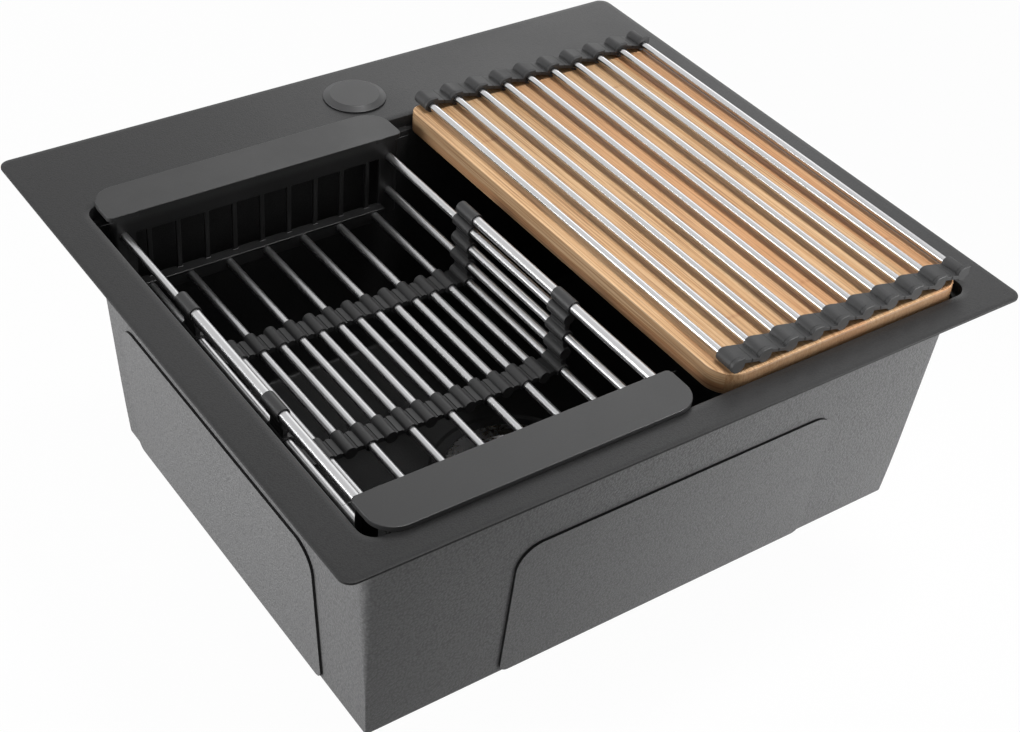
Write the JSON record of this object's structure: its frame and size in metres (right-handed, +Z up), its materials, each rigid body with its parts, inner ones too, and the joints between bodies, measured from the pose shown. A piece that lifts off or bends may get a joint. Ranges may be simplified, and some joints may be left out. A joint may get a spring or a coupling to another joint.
{
  "type": "workstation kitchen sink",
  "caption": "Drop-in workstation kitchen sink with a tap ledge, telescoping wire basket, sliding bamboo board and roll-up drying mat.",
  "frame": {"origin": "centre of the deck in the worktop's plane, at the deck's underside", "axes": "+X to the right along the front edge, +Y to the rear and the tap ledge, +Z up out of the worktop"},
  "size_m": [0.56, 0.5, 0.2989],
  "materials": {
    "coated_deck": "textured satin coat",
    "coated_bowl": "textured satin coat",
    "sound_pad": "textured matte coat",
    "coated_cover": "satin coat",
    "stainless": "brushed",
    "polished_rod": "polished",
    "basket_plastic": "fine matte",
    "strip_rubber": "satin",
    "mat_silicone": "satin",
    "seal_rubber": "matte",
    "waste_plastic": "matte",
    "bamboo": "oiled"
  },
  "bodies": {
    "base": {"deck": "coated_deck", "bowl": "coated_bowl", "pad_front": "sound_pad", "pad_rear": "sound_pad", "pad_left": "sound_pad", "pad_right": "sound_pad", "pad_floor": "sound_pad", "tap_hole_cover": "coated_cover", "tap_hole_seal": "seal_rubber", "tap_hole_washer": "stainless", "tap_hole_nut": "stainless", "waste_flange": "stainless", "waste_upper_gasket": "seal_rubber", "waste_lower_gasket": "seal_rubber", "waste_body": "waste_plastic", "waste_outlet_pipe": "waste_plastic", "waste_screw": "stainless"},
    "strainer": {"strainer_basket": "stainless", "strainer_knob": "stainless", "strainer_seal": "seal_rubber"},
    "basket_front": {"basket_end_front": "basket_plastic", "basket_rods_front": "polished_rod", "basket_tube_left": "polished_rod", "basket_tube_right": "polished_rod", "basket_strip_rear": "strip_rubber"},
    "basket_rear": {"basket_end_rear": "basket_plastic", "basket_rods_rear": "polished_rod", "basket_strip_front": "strip_rubber"},
    "board": {"cutting_board": "bamboo"},
    "mat_10": {"mat_rod_10": "polished_rod", "mat_sleeves_10": "mat_silicone"},
    "mat_09": {"mat_rod_09": "polished_rod", "mat_sleeves_09": "mat_silicone"},
    "mat_08": {"mat_rod_08": "polished_rod", "mat_sleeves_08": "mat_silicone"},
    "mat_07": {"mat_rod_07": "polished_rod", "mat_sleeves_07": "mat_silicone"},
    "mat_06": {"mat_rod_06": "polished_rod", "mat_sleeves_06": "mat_silicone"},
    "mat_05": {"mat_rod_05": "polished_rod", "mat_sleeves_05": "mat_silicone"},
    "mat_04": {"mat_rod_04": "polished_rod", "mat_sleeves_04": "mat_silicone"},
    "mat_03": {"mat_rod_03": "polished_rod", "mat_sleeves_03": "mat_silicone"},
    "mat_02": {"mat_rod_02": "polished_rod", "mat_sleeves_02": "mat_silicone"},
    "mat_01": {"mat_rod_01": "polished_rod", "mat_sleeves_01": "mat_silicone"}
  },
  "joints": [
    {"name": "strainer_lift", "type": "slide", "parent": "base", "child": "strainer", "axis": [0, 0, 1], "range_m": [0, 0.1]},
    {"name": "basket_lift", "type": "slide", "parent": "base", "child": "basket_front", "axis": [0, 0, 1], "range_m": [0, 0.12]},
    {"name": "basket_telescope", "type": "slide", "parent": "basket_front", "child": "basket_rear", "axis": [0, -1, 0], "range_m": [0, 0.08]},
    {"name": "board_lift", "type": "slide", "parent": "base", "child": "board", "axis": [0, 0, 1], "range_m": [0, 0.12]},
    {"name": "mat_lift", "type": "slide", "parent": "board", "child": "mat_10", "axis": [0, 0, 1], "range_m": [0, 0.06]},
    {"name": "mat_fold_09", "type": "hinge", "parent": "mat_10", "child": "mat_09", "pos_m": [0.2326, 0, 0.0176], "axis": [0, 1, 0], "range_deg": [0, 34]},
    {"name": "mat_fold_08", "type": "hinge", "parent": "mat_09", "child": "mat_08", "pos_m": [0.2093, 0, 0.0176], "axis": [0, 1, 0], "range_deg": [0, 34]},
    {"name": "mat_fold_07", "type": "hinge", "parent": "mat_08", "child": "mat_07", "pos_m": [0.186, 0, 0.0176], "axis": [0, 1, 0], "range_deg": [0, 34]},
    {"name": "mat_fold_06", "type": "hinge", "parent": "mat_07", "child": "mat_06", "pos_m": [0.1627, 0, 0.0176], "axis": [0, 1, 0], "range_deg": [0, 34]},
    {"name": "mat_fold_05", "type": "hinge", "parent": "mat_06", "child": "mat_05", "pos_m": [0.1394, 0, 0.0176], "axis": [0, 1, 0], "range_deg": [0, 34]},
    {"name": "mat_fold_04", "type": "hinge", "parent": "mat_05", "child": "mat_04", "pos_m": [0.1161, 0, 0.0176], "axis": [0, 1, 0], "range_deg": [0, 34]},
    {"name": "mat_fold_03", "type": "hinge", "parent": "mat_04", "child": "mat_03", "pos_m": [0.0928, 0, 0.0176], "axis": [0, 1, 0], "range_deg": [0, 34]},
    {"name": "mat_fold_02", "type": "hinge", "parent": "mat_03", "child": "mat_02", "pos_m": [0.0695, 0, 0.0176], "axis": [0, 1, 0], "range_deg": [0, 34]},
    {"name": "mat_fold_01", "type": "hinge", "parent": "mat_02", "child": "mat_01", "pos_m": [0.0462, 0, 0.0176], "axis": [0, 1, 0], "range_deg": [0, 34]}
  ],
  "couplings": [
    {"joint": "mat_fold_08", "follows": "mat_fold_09", "ratio": 1},
    {"joint": "mat_fold_07", "follows": "mat_fold_09", "ratio": 1},
    {"joint": "mat_fold_06", "follows": "mat_fold_09", "ratio": 1},
    {"joint": "mat_fold_05", "follows": "mat_fold_09", "ratio": 1},
    {"joint": "mat_fold_04", "follows": "mat_fold_09", "ratio": 1},
    {"joint": "mat_fold_03", "follows": "mat_fold_09", "ratio": 1},
    {"joint": "mat_fold_02", "follows": "mat_fold_09", "ratio": 1},
    {"joint": "mat_fold_01", "follows": "mat_fold_09", "ratio": 1}
  ]
}
